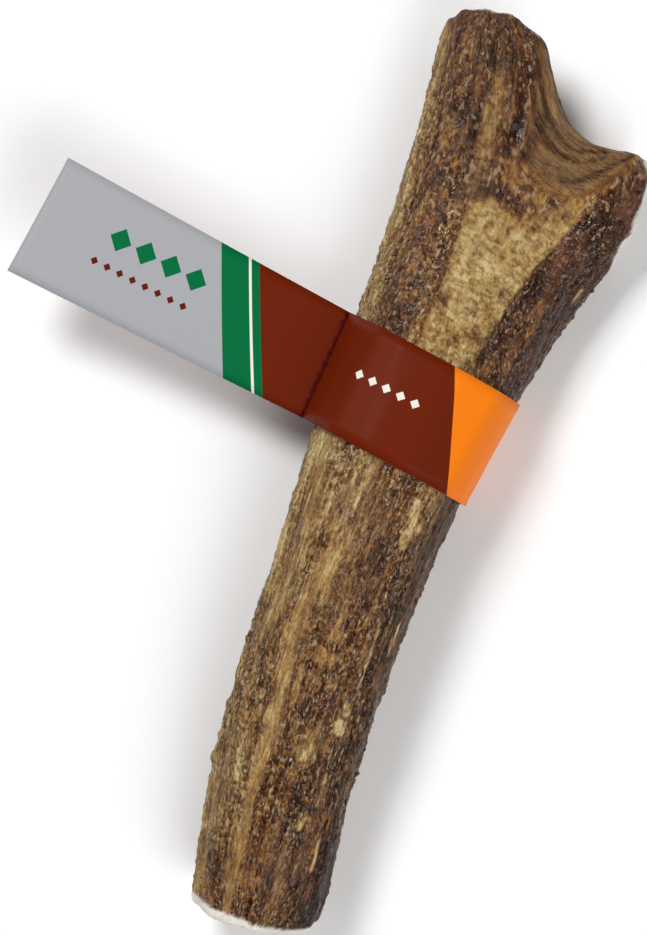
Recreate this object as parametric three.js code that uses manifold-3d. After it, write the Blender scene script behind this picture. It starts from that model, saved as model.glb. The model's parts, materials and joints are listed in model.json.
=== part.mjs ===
// A sawn length of elk antler with a card sale band wrapped round it.
// Units are millimetres. X runs across the antler, Y from the sawn base to the sawn top, and Z up
// from the surface that it lies on. The origin is under the middle of the whole object.

import * as THREE from 'three';
import { LoftGeometry } from 'three/addons/geometries/LoftGeometry.js';
import { mergeVertices } from 'three/addons/utils/BufferGeometryUtils.js';
import Module from 'manifold-3d';

const wasm = await Module();
wasm.setup();

// Antler: driving dimensions
// Each section joins a point of the left edge to a point of the right edge, as seen from above.
// half is half of its thickness, under is how high its underside is above the surface, fork is how
// far it has opened into two lobes, and lean is how far its plane leans along Y for each mm of Z.
const SECTIONS = [
  { left: [-18.6, 2.6], right: [13.9, 3.8], half: 15.0, under: 0.2, fork: 0.0, lean: -0.24 },
  { left: [-19.4, 12.0], right: [14.4, 12.0], half: 15.4, under: -0.3, fork: 0.0, lean: -0.18 },
  { left: [-20.8, 28.0], right: [14.0, 28.0], half: 16.0, under: -0.3, fork: 0.0, lean: -0.08 },
  { left: [-21.4, 45.0], right: [14.4, 45.0], half: 16.5, under: 0.7, fork: 0.0, lean: -0.02 },
  { left: [-20.7, 66.0], right: [16.1, 65.0], half: 16.9, under: 1.6, fork: 0.0, lean: 0.0 },
  { left: [-19.5, 86.0], right: [18.2, 84.0], half: 17.1, under: 2.0, fork: 0.0, lean: 0.0 },
  { left: [-18.3, 106.0], right: [20.9, 103.0], half: 17.2, under: 2.2, fork: 0.0, lean: 0.0 },
  { left: [-16.8, 124.0], right: [24.4, 120.0], half: 17.2, under: 2.3, fork: 0.1, lean: 0.0 },
  { left: [-14.7, 141.0], right: [29.7, 138.0], half: 17.0, under: 2.2, fork: 0.35, lean: 0.0 },
  { left: [-13.1, 154.0], right: [34.5, 153.0], half: 16.6, under: 1.6, fork: 0.65, lean: 0.0 },
  { left: [-12.5, 165.0], right: [38.9, 165.5], half: 16.0, under: 0.8, fork: 0.9, lean: 0.0 },
  { left: [-11.7, 174.0], right: [43.4, 176.0], half: 15.6, under: 0.2, fork: 1.0, lean: 0.0 },
  { left: [-11.1, 181.0], right: [48.9, 187.0], half: 15.3, under: -0.2, fork: 1.0, lean: 0.0 },
  { left: [-10.8, 188.0], right: [53.5, 198.0], half: 15.1, under: -0.3, fork: 1.0, lean: 0.0 },
  { left: [-10.4, 195.0], right: [54.0, 206.5], half: 15.0, under: -0.3, fork: 1.0, lean: 0.02 },
  { left: [-10.1, 200.0], right: [45.5, 208.6], half: 14.9, under: -0.2, fork: 0.9, lean: 0.05 },
  { left: [-10.0, 206.0], right: [36.7, 207.6], half: 14.7, under: 0.0, fork: 0.7, lean: 0.1 },
  { left: [-9.9, 211.0], right: [28.8, 210.4], half: 14.4, under: 0.4, fork: 0.4, lean: 0.18 },
  { left: [-9.9, 216.0], right: [23.8, 215.2], half: 14.0, under: 0.9, fork: 0.15, lean: 0.28 },
  { left: [-10.1, 221.5], right: [20.6, 220.5], half: 13.5, under: 1.5, fork: 0.0, lean: 0.4 },
  { left: [-10.3, 227.2], right: [18.2, 225.0], half: 12.8, under: 2.2, fork: 0.0, lean: 0.5 },
];
const RING_STEP = 3.6; // mm between rings along the antler
const AROUND = 54; // points in a ring
const RIM = 2.2; // radius of the sanded edge of a sawn end
const RIM_STEPS = 2;
const TINE_HALF = 13.0; // half of the tine's thickness
const TINE_UNDER = -1.9; // below the surface before it is worn flat where it meets it
const LOBE_FULL = 0.8; // under 1 a forked section is fuller than an ellipse
const WAIST_AT = 0.56; // place of the hollow between the lobes, from the left edge to the right
const WAIST_WIDE = 0.17;
const WAIST_TOP = 0.26; // how far the hollow dips, as a share of the thickness
const WAIST_UNDER = 0.14;

// Relief of the bark: long uneven ridges and grooves, with rows of lumps
const RIDGES = [
  { count: 8, height: 0.34, drift: 0.9, turn: 1.3 },
  { count: 13, height: 0.36, drift: -1.3, turn: 0.4 },
  { count: 17, height: 0.22, drift: 1.6, turn: 4.1 },
];
const DRIFT_LENGTH = 38; // mm along the antler over which a ridge wanders
const LUMP_ROWS = 15;
const LUMP_LENGTH = 7.0;
const LUMP_HEIGHT = 1.3;
const RELIEF_DOWN = 0.1; // keeps the tops of the relief at the measured outline
const WORN_PATCH = { x: 15, y: 172, across: 13, along: 30 }; // smooth hollow below the fork
const WORN_LEFT = 0.15; // share of the relief that is left on it

// Saw cuts: the tine's end, and the plane at the fork between the beam and the tine
const TINE_CUT = { point: [47.3, 196, 12], normal: [0.985, -0.03, -0.16], rim: 1.8 };
const FORK_CUT = { point: [32.5, 208, 12], normal: [0.965, 0.26, 0] };
const FORK_GAP = 0.3;

// Card band: driving dimensions
const BAND_ANGLE = THREE.MathUtils.degToRad(-14.4); // the strip's direction across the antler
const BAND_LOW = 115.2; // distance of the loop's lower edge along its own cross direction
const BAND_WIDTH = 28.8;
const CARD = 0.45; // thickness of one layer
const BAND_CLEAR = 0.45; // inner wall to the outermost lumps of the bark
const BAND_RINGS = 4;
const BAND_AROUND = 48;
const FOLD_OUT = 1.4; // from the antler's left side to the fold that the flag leaves by
const FOLD_Z = 20.0;
const FLAG_END = -132.4; // the far end of the flag, along the strip
const FLAG_END_LOW = 112.5; // the flag widens a little to its end
const FLAG_END_WIDTH = 31.75;
const FLAG_RISE = 8.0; // how far the end stands above the fold
const FLAG_STEPS = 8;

// Where the origin lies in the frame of the numbers above
const ORIGIN = new THREE.Vector3(-25.8, 115.9, 0);

const lerp = THREE.MathUtils.lerp;
const smoothstep = THREE.MathUtils.smoothstep;

// The same number each time for the same pair, from 0 to 1.
function scatter(i, j) {
  const s = Math.sin(i * 12.9898 + j * 78.233) * 43758.5453;
  return s - Math.floor(s);
}

function curveThrough(points) {
  return new THREE.CatmullRomCurve3(points, false, 'catmullrom', 0.5);
}

const leftEdge = curveThrough(SECTIONS.map((s) => new THREE.Vector3(...s.left, s.fork)));
const rightEdge = curveThrough(SECTIONS.map((s) => new THREE.Vector3(...s.right, s.lean)));
const thickness = curveThrough(SECTIONS.map((s) => new THREE.Vector3(s.half, s.under, 0)));

// Height of the bark's relief at an angle round the section.
function relief(angle, x, y, side) {
  let height = 0;
  for (const [i, r] of RIDGES.entries()) {
    height += r.height * Math.cos(r.count * angle + r.drift * Math.sin(y / DRIFT_LENGTH + i) + r.turn);
  }
  const row = (LUMP_ROWS * angle) / (2 * Math.PI) + 0.4 * Math.sin(y / DRIFT_LENGTH);
  const lane = Math.floor(row);
  const place = y / LUMP_LENGTH + scatter(lane, 3);
  const cell = Math.floor(place);
  const swell = Math.sin(Math.PI * (row - lane)) * Math.sin(Math.PI * (place - cell)) ** 2;
  height += LUMP_HEIGHT * swell * scatter(lane % LUMP_ROWS, cell) ** 2;
  const across = (x - WORN_PATCH.x) / WORN_PATCH.across;
  const along = (y - WORN_PATCH.y) / WORN_PATCH.along;
  const rough = side > 0 ? smoothstep(Math.hypot(across, along), 0.75, 1.25) : 1;
  return (height - RELIEF_DOWN) * lerp(WORN_LEFT, 1, rough);
}

// Brings what stands past the tine's saw cut back onto it, with a sanded edge.
function sawTine(p) {
  const normal = new THREE.Vector3(...TINE_CUT.normal).normalize();
  const past = p.clone().sub(new THREE.Vector3(...TINE_CUT.point)).dot(normal);
  const r = TINE_CUT.rim;
  if (past <= -r) return p;
  const kept = past >= r ? 0 : past - (past + r) ** 2 / (4 * r);
  return p.addScaledVector(normal, kept - past);
}

// A sine or cosine with its size raised to a power, which makes a circle fuller or flatter.
function bulge(value, power) {
  return Math.sign(value) * Math.abs(value) ** power;
}

// One ring of the antler at t from 0 to 1, drawn in towards its middle and shifted along Y.
function ring(t, inset = 0, shift = 0) {
  const left = leftEdge.getPoint(t);
  const right = rightEdge.getPoint(t);
  const { x: half, y: under } = thickness.getPoint(t);
  const fork = left.z;
  const lean = right.z;
  const across = new THREE.Vector3(right.x - left.x, right.y - left.y, 0);
  const width = across.length();
  across.divideScalar(width);
  const middle = new THREE.Vector3((left.x + right.x) / 2, (left.y + right.y) / 2, half + under);
  const points = [];
  for (let i = 0; i < AROUND; i++) {
    const angle = (2 * Math.PI * i) / AROUND;
    const s = bulge(Math.sin(angle), lerp(1, LOBE_FULL, fork));
    const c = bulge(Math.cos(angle), lerp(1, 0.92, fork));
    const along = (1 + c) / 2; // 0 at the left edge and 1 at the right
    const onTine = fork * smoothstep(along, 0.5, 0.95);
    const h = lerp(half, TINE_HALF, onTine);
    const centre = lerp(half + under, TINE_HALF + TINE_UNDER, onTine);
    const dip = fork * Math.exp(-(((along - WAIST_AT) / WAIST_WIDE) ** 2));
    const z = centre + h * s * (1 - dip * (s > 0 ? WAIST_TOP : WAIST_UNDER));
    const p = new THREE.Vector3(left.x, left.y, z).addScaledVector(across, along * width);
    const out = across.clone().multiplyScalar(Math.cos(angle) / width);
    out.z = Math.sin(angle) / (2 * h);
    out.normalize();
    p.addScaledVector(out, relief(angle, p.x, p.y, s));
    p.y += lean * (p.z - middle.z);
    p.lerp(middle, (2 * inset) / width);
    p.y += shift;
    sawTine(p);
    p.z = Math.max(p.z, 0); // the few lumps that meet the surface are worn flat on it
    points.push(p);
  }
  return points.reverse();
}

// Rings from the base's flat face, over its sanded edge, up the bark and over the top's edge.
function antlerRings() {
  const rings = [];
  const last = SECTIONS.length - 1;
  for (let k = RIM_STEPS; k > 0; k--) {
    const a = (Math.PI / 2) * (k / RIM_STEPS);
    rings.push(ring(0, RIM * (1 - Math.cos(a)), -RIM * Math.sin(a)));
  }
  for (let i = 0; i < last; i++) {
    const a = leftEdge.getPoint(i / last);
    const b = leftEdge.getPoint((i + 1) / last);
    const c = rightEdge.getPoint(i / last);
    const d = rightEdge.getPoint((i + 1) / last);
    const length = Math.max(Math.hypot(b.x - a.x, b.y - a.y), Math.hypot(d.x - c.x, d.y - c.y) * 0.8);
    const steps = Math.max(2, Math.round(length / RING_STEP));
    for (let k = 0; k < steps; k++) {
      rings.push(ring((i + k / steps) / last));
    }
  }
  rings.push(ring(1));
  for (let k = 1; k <= RIM_STEPS; k++) {
    const a = (Math.PI / 2) * (k / RIM_STEPS);
    rings.push(ring(1, RIM * (1 - Math.cos(a)), RIM * Math.sin(a)));
  }
  return rings;
}

function toSolid(geometry) {
  const bare = new THREE.BufferGeometry();
  bare.setAttribute('position', geometry.getAttribute('position'));
  bare.setIndex(geometry.getIndex());
  const merged = mergeVertices(bare, 1e-4);
  const mesh = new wasm.Mesh({
    numProp: 3,
    vertProperties: merged.attributes.position.array,
    triVerts: new Uint32Array(merged.index.array),
  });
  return new wasm.Manifold(mesh);
}

function toGeometry(solid) {
  const mesh = solid.getMesh();
  const geometry = new THREE.BufferGeometry();
  geometry.setAttribute('position', new THREE.BufferAttribute(mesh.vertProperties, 3));
  geometry.setIndex(new THREE.BufferAttribute(mesh.triVerts, 1));
  const flat = geometry.toNonIndexed();
  flat.computeVertexNormals();
  return flat;
}

function loft(sections) {
  return toSolid(new LoftGeometry(sections, { capStart: true, capEnd: true }));
}

// A large block on the tine's side of the fork cut, moved out along the cut's normal.
function tineSide(gap) {
  const size = 120;
  const block = new THREE.BoxGeometry(size, size, size);
  const normal = new THREE.Vector3(...FORK_CUT.normal).normalize();
  const turn = new THREE.Quaternion().setFromUnitVectors(new THREE.Vector3(1, 0, 0), normal);
  const at = new THREE.Vector3(...FORK_CUT.point).addScaledVector(normal, size / 2 + gap);
  block.applyMatrix4(new THREE.Matrix4().compose(at, turn, new THREE.Vector3(1, 1, 1)));
  return toSolid(block);
}

// The strip's own frame: u along it, v across it.
const stripU = new THREE.Vector3(Math.cos(BAND_ANGLE), Math.sin(BAND_ANGLE), 0);
const stripV = new THREE.Vector3(-Math.sin(BAND_ANGLE), Math.cos(BAND_ANGLE), 0);

function onStrip(u, v, z) {
  return new THREE.Vector3(0, 0, z).addScaledVector(stripU, u).addScaledVector(stripV, v);
}

// The bark's points near the line at v across the strip, and the fold, each with the card's
// clearance from it.
function underCard(bark, v) {
  const reach = BAND_WIDTH / (BAND_RINGS - 1);
  const points = [];
  for (const p of bark) {
    if (Math.abs(p.dot(stripV) - v) < reach) {
      points.push({ u: p.dot(stripU), z: p.z, clear: BAND_CLEAR });
    }
  }
  const left = Math.min(...points.map((p) => p.u));
  points.push({ u: left - FOLD_OUT, z: FOLD_Z, clear: 0.05 });
  return points;
}

// The card is stiff, so it bears on the outermost points and runs straight between them.
function loopOutline(bark, v, layer) {
  const points = underCard(bark, v);
  const path = [];
  for (let degrees = 180; degrees > -180; degrees -= 3) {
    const c = Math.cos(THREE.MathUtils.degToRad(degrees));
    const s = Math.sin(THREE.MathUtils.degToRad(degrees));
    const reach = (p) => p.u * c + p.z * s + p.clear;
    const far = points.reduce((best, p) => (reach(p) > reach(best) ? p : best));
    const out = far.clear + layer;
    path.push(new THREE.Vector2(far.u + out * c, far.z + out * s));
  }
  const outline = new THREE.Path(path).closePath().getSpacedPoints(BAND_AROUND);
  return outline.slice(1).map((p) => onStrip(p.x, v, p.y));
}

function loop(bark, layer, past) {
  const sections = [];
  for (let k = 0; k < BAND_RINGS; k++) {
    const s = k / (BAND_RINGS - 1);
    sections.push(loopOutline(bark, BAND_LOW - past + s * (BAND_WIDTH + 2 * past), layer));
  }
  return loft(sections);
}

// The two layers glued together past the fold.
function flag(foldU) {
  const sections = [];
  for (let k = 0; k <= FLAG_STEPS; k++) {
    const s = k / FLAG_STEPS;
    const u = lerp(foldU, FLAG_END, s);
    const z = FOLD_Z + FLAG_RISE * s ** 1.6;
    const low = lerp(BAND_LOW, FLAG_END_LOW, s);
    const high = low + lerp(BAND_WIDTH, FLAG_END_WIDTH, s);
    const corners = [[low, z - CARD], [low, z + CARD], [high, z + CARD], [high, z - CARD]];
    sections.push(corners.map(([v, height]) => onStrip(u, v, height)));
  }
  return loft(sections);
}

function cardBand(bark) {
  const folds = [BAND_LOW, BAND_LOW + BAND_WIDTH].map((v) => underCard(bark, v).at(-1).u);
  const outside = loop(bark, CARD, 0).add(flag(Math.max(...folds)));
  return outside.subtract(loop(bark, 0, 0.5));
}

function named(name, solid, material) {
  const mesh = new THREE.Mesh(toGeometry(solid), material);
  mesh.name = name;
  return mesh;
}

const boneMaterial = new THREE.MeshStandardMaterial({ color: 0x7a5a38, roughness: 0.5, metalness: 0 });
const cardMaterial = new THREE.MeshStandardMaterial({ color: 0x6b2613, roughness: 0.4, metalness: 0 });

const rings = antlerRings();
const antler = loft(rings);

const object = new THREE.Group();
object.add(named('main_beam', antler.subtract(tineSide(0)), boneMaterial));
object.add(named('side_tine', antler.intersect(tineSide(FORK_GAP)), boneMaterial));
object.add(named('card_band', cardBand(rings.flat()), cardMaterial));
object.position.copy(ORIGIN).negate();

export default object;
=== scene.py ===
# %% [markdown]
# # A sawn length of elk antler, with a card sale band
#
# An elk's antler is bone that grew under velvet. Blood vessels left long grooves in it, and between
# the grooves it is covered with small beads, like coarse bark. This length was sawn off below a fork,
# its tine and its top were sawn short, and a printed strip of card was wrapped round it, with its two
# ends glued together into a flat flag.
#
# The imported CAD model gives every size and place. This script gives the two pieces their surfaces:
# real beads and grooves in the mesh, then colour, gloss and the finest relief in the materials.

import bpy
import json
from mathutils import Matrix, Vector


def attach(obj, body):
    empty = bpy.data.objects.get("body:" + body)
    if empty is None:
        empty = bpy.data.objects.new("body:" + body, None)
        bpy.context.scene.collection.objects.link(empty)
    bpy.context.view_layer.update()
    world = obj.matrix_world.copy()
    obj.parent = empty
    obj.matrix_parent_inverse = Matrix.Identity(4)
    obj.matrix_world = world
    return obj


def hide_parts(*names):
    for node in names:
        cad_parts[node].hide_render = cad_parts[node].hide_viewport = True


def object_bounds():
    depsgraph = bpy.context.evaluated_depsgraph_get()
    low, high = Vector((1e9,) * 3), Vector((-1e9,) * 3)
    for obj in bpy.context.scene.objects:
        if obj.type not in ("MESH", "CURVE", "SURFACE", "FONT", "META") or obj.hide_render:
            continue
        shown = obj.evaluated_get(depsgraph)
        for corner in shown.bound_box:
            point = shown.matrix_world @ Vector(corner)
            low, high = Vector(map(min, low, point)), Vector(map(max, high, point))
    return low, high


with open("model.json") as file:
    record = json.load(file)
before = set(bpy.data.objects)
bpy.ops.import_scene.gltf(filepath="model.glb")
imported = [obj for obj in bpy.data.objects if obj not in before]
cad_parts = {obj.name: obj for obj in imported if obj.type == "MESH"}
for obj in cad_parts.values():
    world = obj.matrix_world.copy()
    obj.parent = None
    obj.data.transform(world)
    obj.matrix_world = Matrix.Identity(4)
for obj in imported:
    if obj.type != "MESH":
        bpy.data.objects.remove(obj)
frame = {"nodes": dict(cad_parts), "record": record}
cad_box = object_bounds()
print("CAD nodes:", sorted(frame["nodes"]))

# %% Tools
import json
import math

import bmesh
import bpy
import numpy as np
from mathutils import Vector

MM = 0.001
print("Blender", bpy.app.version_string, "works in metres, and one millimetre is", MM)

# %% [markdown]
# ## Where things are
#
# Places on the antler are easiest to give as the photo shows them: millimetres across and along,
# from the middle of the sawn base. The model's own origin is under the middle of the whole part, so
# one shift takes a place from the first to the second.

# %% Places on the antler
FROM_BASE = Vector((25.8, -115.9, 0.0))  # mm, from the middle of the sawn base to the model's frame


def on_model(x, y, z=0.0):
    """A place given in mm from the sawn base, as a point of the model in metres."""
    return (Vector((x, y, z)) + FROM_BASE) * MM


print("the sawn base's middle, in metres:", tuple(round(value, 4) for value in on_model(0, 0)))

# %% [markdown]
# ## Colour and nodes
#
# Colours are written as they would be picked from a screen, in sRGB, and one function makes them
# linear, which is what shaders expect. Another small function adds a shader node, sets it and links
# it, so that a material reads as a list of what it is made of.

# %% Colour and node helpers
def paint(hex_code):
    """A linear RGBA colour from an sRGB hex value such as 0xA98F62."""
    parts = [((hex_code >> shift) & 255) / 255 for shift in (16, 8, 0)]
    linear = [c / 12.92 if c <= 0.04045 else ((c + 0.055) / 1.055) ** 2.4 for c in parts]
    return (*linear, 1.0)


def add(material, kind, sockets=None, ramp=None, out=0, **settings):
    """Adds a shader node and returns one output. A socket takes a value or another node's output."""
    new = material.node_tree.nodes.new("ShaderNode" + kind)
    for name, value in settings.items():
        setattr(new, name, value)
    for key, value in (sockets or {}).items():
        if isinstance(value, bpy.types.NodeSocket):
            material.node_tree.links.new(value, new.inputs[key])
        else:
            new.inputs[key].default_value = value
    for index, (place, colour) in enumerate(ramp or ()):
        stops = new.color_ramp.elements
        stop = stops[index] if index < 2 else stops.new(place)
        stop.position = place
        stop.color = colour
    return new.outputs[out] if new.outputs else None


def new_material(name):
    """A node material with nothing in it yet."""
    material = bpy.data.materials.new(name)
    material.use_nodes = True
    material.node_tree.nodes.clear()
    return material


def put_in_scene(name, data):
    """Makes an object of a mesh, light or camera and adds it to the scene."""
    item = bpy.data.objects.new(name, data)
    bpy.context.scene.collection.objects.link(item)
    return item


print(f"screen grey 0x808080 is {paint(0x808080)[0]:.3f} in linear light")

# %% [markdown]
# ## The camera
#
# The photo looks straight at the antler, and the antler lies down here, so the camera looks straight
# down. It is rolled a little, because the antler leans in the picture. A long lens from a metre away
# keeps the outline as flat as the photo's.

# %% The camera
PHOTO_HEIGHT = 935  # pixels
MM_PER_PIXEL = 0.25
LEAN = math.radians(14.0)  # the antler's lean to the right in the picture
LOOK_AT = on_model(-12.45, 113.5, 18.0)  # the picture's middle, at the height of the antler's sides
DISTANCE = 1.0

camera = put_in_scene("camera", bpy.data.cameras.new("camera"))
camera.location = LOOK_AT + Vector((0, 0, DISTANCE))
camera.rotation_euler = (0, 0, LEAN)
camera.data.lens = camera.data.sensor_width * DISTANCE / (PHOTO_HEIGHT * MM_PER_PIXEL * MM)
bpy.context.scene.camera = camera
print(f"lens {camera.data.lens:.0f} mm")

# %% [markdown]
# ## The antler's body
#
# The CAD model has the antler's true form, but in flat facets and in two nodes that meet at the fork.
# The real thing is one piece of bone. One way would be to model it again from rings. It is surer to
# take a copy of the two nodes, close the gap between them, and let a voxel remesh knit one even skin
# of small squares over both. Relaxing that skin takes the facets out and leaves the form. The sawn
# ends are relaxed far less, so that their edges stay crisp.

# %% The three saw cuts, as the record gives them
cuts = {}
for mount in frame["record"]["mounts"]:
    facing = Vector(mount["axis"]).normalized()
    cuts[mount["name"]] = (Vector(mount["pos_m"]), facing)
print("saw cuts:", sorted(cuts))

# %% One even skin over both nodes
FORK_POINT = on_model(32.5, 208, 12)
FORK_NORMAL = Vector((0.965, 0.26, 0)).normalized()
TINE_FACE_FROM = 0.2 * MM  # past the fork, between these two, lies the tine's parted face
TINE_FACE_TO = 0.4 * MM
OVERLAP = 1.0 * MM  # how far the tine is pushed into the beam before the two are knit together
SAME_POINT = 0.01 * MM  # points nearer than this are one
VOXEL = 0.65 * MM  # a much finer one would take the skin past 200,000 triangles

rough = bmesh.new()
for name in ("main_beam", "side_tine"):
    rough.from_mesh(frame["nodes"][name].data)
bmesh.ops.remove_doubles(rough, verts=rough.verts, dist=SAME_POINT)
for vert in rough.verts:
    past_fork = (vert.co - FORK_POINT).dot(FORK_NORMAL)
    if TINE_FACE_FROM < past_fork < TINE_FACE_TO:
        vert.co -= FORK_NORMAL * OVERLAP
rough_mesh = bpy.data.meshes.new("antler_rough")
rough.to_mesh(rough_mesh)
rough.free()

knit = put_in_scene("antler_rough", rough_mesh)
remesh = knit.modifiers.new("knit", "REMESH")
remesh.mode = "VOXEL"
remesh.voxel_size = VOXEL
skin = bpy.data.meshes.new_from_object(knit.evaluated_get(bpy.context.evaluated_depsgraph_get()))
skin.name = "antler"
bpy.data.objects.remove(knit)
print(f"knit skin: {len(skin.vertices)} points, {len(skin.polygons)} faces")

# %% Relaxing the skin
RELAXING = ((2, -1.0), (4, 0.9), (10, 2.5))  # rounds, and how many mm behind the saw cuts they start
HALFWAY = 0.5  # how far one round takes a point towards its neighbours
TOP_ROUNDED = 5.0 * MM  # the sawn top was sanded into a low dome, to this depth
TOP_ROUNDS = 26


def relax(points, rounds):
    """Takes each point towards the average of its neighbours, round after round."""
    for _ in range(rounds):
        bmesh.ops.smooth_vert(
            relaxed, verts=points, factor=HALFWAY, use_axis_x=True, use_axis_y=True, use_axis_z=True
        )


def behind_cuts(vert):
    """How far behind the nearest saw cut's plane a point lies."""
    return min((point - vert.co).dot(facing) for point, facing in cuts.values())


relaxed = bmesh.new()
relaxed.from_mesh(skin)
for rounds, depth_mm in RELAXING:
    relax([vert for vert in relaxed.verts if behind_cuts(vert) > depth_mm * MM], rounds)
top_point, top_facing = cuts["top_cut"]
relax([vert for vert in relaxed.verts if (top_point - vert.co).dot(top_facing) < TOP_ROUNDED], TOP_ROUNDS)
relaxed.to_mesh(skin)
relaxed.free()
print("relaxed with", sum(rounds for rounds, _ in RELAXING), "rounds, and the top with", TOP_ROUNDS, "more")

# %% The skin's points as plain numbers
def per_vertex(mesh_items, key):
    """One row of three numbers for each vertex."""
    flat = np.empty(len(mesh_items) * 3)
    mesh_items.foreach_get(key, flat)
    return flat.reshape(-1, 3)


body = per_vertex(skin.vertices, "co") / MM - np.array(FROM_BASE)
normals = per_vertex(skin.vertex_normals, "vector")
print(f"skin: {len(body)} points, {body[:, 1].max() - body[:, 1].min():.0f} mm long")

# %% [markdown]
# ## The grain
#
# Everything on an antler follows the way that it grew: grooves, rows of beads and colour all run
# along it, and part at the fork like water round a stone. So the grain is worked out the same way as
# a stream. Seen from above, one number runs from 0 at the left bank to 1 at the right bank, and the
# fork's crotch holds a value between. Each place inside takes the average of its neighbours, again
# and again, until it settles. Lines of equal value are then the grain. A second number runs along it.

# %% A millimetre grid of the antler seen from above
MARGIN = 3  # cells of room on each side

low_corner = np.floor(body[:, :2].min(0)) - MARGIN
grid_size = (np.ceil(body[:, :2].max(0)) - low_corner).astype(int) + MARGIN
inside = np.zeros(grid_size, bool)
filled = np.round(body[:, :2] - low_corner).astype(int)
inside[filled[:, 0], filled[:, 1]] = True
grid_x = low_corner[0] + np.arange(grid_size[0])[:, None] + np.zeros(grid_size)
grid_y = low_corner[1] + np.arange(grid_size[1])[None, :] + np.zeros(grid_size)
first_x = np.where(inside.any(0), inside.argmax(0), 0) + low_corner[0]
last_x = grid_size[0] - 1 - inside[::-1].argmax(0) + low_corner[0]
print("grid", tuple(grid_size), "mm")

# %% The banks of the stream
VALLEY_Y = 207.0  # above this, the right bank is the valley between the stub and the tine
TINE_CUT_X = 46.3  # to the right of this and above the next is the tine's sawn end
TINE_LOW_Y = 182.0

left_bank = inside.any(0) & ~inside & (grid_x < first_x)
right_bank = inside.any(0) & ~inside & (grid_x > last_x)
past_tine = right_bank & (grid_x > TINE_CUT_X) & (grid_y > TINE_LOW_Y)
valley_bank = right_bank & ~past_tine & (grid_y > VALLEY_Y)
right_bank &= ~past_tine & ~valley_bank
print(f"cells of bank: {left_bank.sum()} left, {right_bank.sum()} right, {valley_bank.sum()} in the valley")

# %% Letting a grid of values settle
SETTLE_ROUNDS = 2600
JUST_INSIDE = 1.001  # keeps a place in the grid's last whole cell


def neighbours(grid):
    """The sum of each cell's four neighbours."""
    total = np.zeros(grid.shape)
    total[1:] += grid[:-1]
    total[:-1] += grid[1:]
    total[:, 1:] += grid[:, :-1]
    total[:, :-1] += grid[:, 1:]
    return total


def settle(start, held):
    """Averages each inside cell with its neighbours, while the held cells keep their value."""
    known = inside | held
    weight = np.maximum(neighbours(known), 1)
    value = np.where(known, start, 0.0)
    for _ in range(SETTLE_ROUNDS):
        value = np.where(held | ~known, value, neighbours(value) / weight)
    for _ in range(MARGIN):
        reach = neighbours(known)
        value = np.where(~known & (reach > 0), neighbours(value) / np.maximum(reach, 1), value)
        known = known | (reach > 0)
    return value


def read_grid(grid, xy):
    """The grid's value at each place, blended from the four cells round it."""
    spot = np.clip(xy - low_corner, 0, np.array(grid_size) - JUST_INSIDE)
    cell = spot.astype(int)
    (i, j), (a, b) = cell.T, (spot - cell).T
    low = grid[i, j] * (1 - a) + grid[i + 1, j] * a
    high = grid[i, j + 1] * (1 - a) + grid[i + 1, j + 1] * a
    return low * (1 - b) + high * b


print("cells with four inside neighbours:", (neighbours(inside) == 4).sum())

# %% The two numbers that follow the grain
BEAM_WIDTH = 38.0  # mm that the first number stands for
CROTCH_SHARE = 0.58  # share of the stream that goes up past the fork
TOP_Y = 232.0  # mm; cells above this and outside the antler are past its sawn top
TINE_REACH = 222.0  # the second number's value at the tine's sawn end

share = np.clip((grid_x - first_x) / np.maximum(last_x - first_x, 1), 0, 1)
for bank, value in ((left_bank, 0.0), (right_bank, 1.0), (valley_bank, CROTCH_SHARE)):
    share[bank] = value
ends = ~inside & ((grid_y < 0) | (grid_y > TOP_Y))
across = settle(share, left_bank | right_bank | valley_bank)
along = settle(np.where(past_tine, TINE_REACH, grid_y), past_tine | ends)
seen_from_above = body[:, :2]
grain = np.column_stack([
    read_grid(across, seen_from_above) * BEAM_WIDTH, read_grid(along, seen_from_above), body[:, 2],
])
print(f"across the grain: 0 to {grain[:, 0].max():.1f} mm")
print(f"along the grain: {grain[:, 1].min():.0f} to {grain[:, 1].max():.0f} mm")

# %% [markdown]
# ## Noise
#
# Sculpting thousands of beads by hand would take days. Two kinds of noise do it instead, read in the
# grain's own numbers so that the shapes stretch and turn with the bone. Soft noise makes the long
# ridges, and its zero lines are thin and winding, which is just what the blood vessels' grooves look
# like. Cell noise scatters one point in each small cell, and a cap over each point is a bead.

# %% Noise that can be read anywhere
def dice(cell, salt):
    """A number from 0 to 1 for each whole-numbered cell, the same on every run."""
    # The big odd numbers only stir the bits, so that neighbouring cells get unlike numbers.
    mixed = cell[..., 0] * 73856093 ^ cell[..., 1] * 19349663 ^ cell[..., 2] * 83492791 ^ salt * 40503
    mixed = (mixed ^ (mixed >> 13)) * 1274126177
    return ((mixed ^ (mixed >> 16)) & 0xFFFFFF) / 0xFFFFFF


def soft_noise(size_mm, salt):
    """Soft lumps from -1 to 1, with their size in mm across the grain, along it and through the bone."""
    place = grain / np.array(size_mm)
    cell = np.floor(place).astype(np.int64)
    part = place - cell
    part = part * part * (3 - 2 * part)
    total = np.zeros(len(place))
    for corner in np.ndindex(2, 2, 2):
        weight = np.prod(np.where(corner, part, 1 - part), axis=1)
        total += weight * dice(cell + corner, salt)
    return 2 * total - 1


def cell_noise(size_mm, salt):
    """For each vertex, the distance to the nearest scattered point in cells, and that point's number."""
    place = grain / np.array(size_mm)
    cell = np.floor(place).astype(np.int64)
    nearest = np.full(len(place), 9.0)  # farther than any point can be
    number = np.zeros(len(place))
    for step in np.ndindex(3, 3, 3):
        near = cell + np.array(step) - 1
        point = near + np.column_stack([dice(near, salt + k) for k in range(3)])
        far = np.linalg.norm(place - point, axis=1)
        number = np.where(far < nearest, dice(near, salt + 3), number)
        nearest = np.minimum(nearest, far)
    return nearest, number


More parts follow.
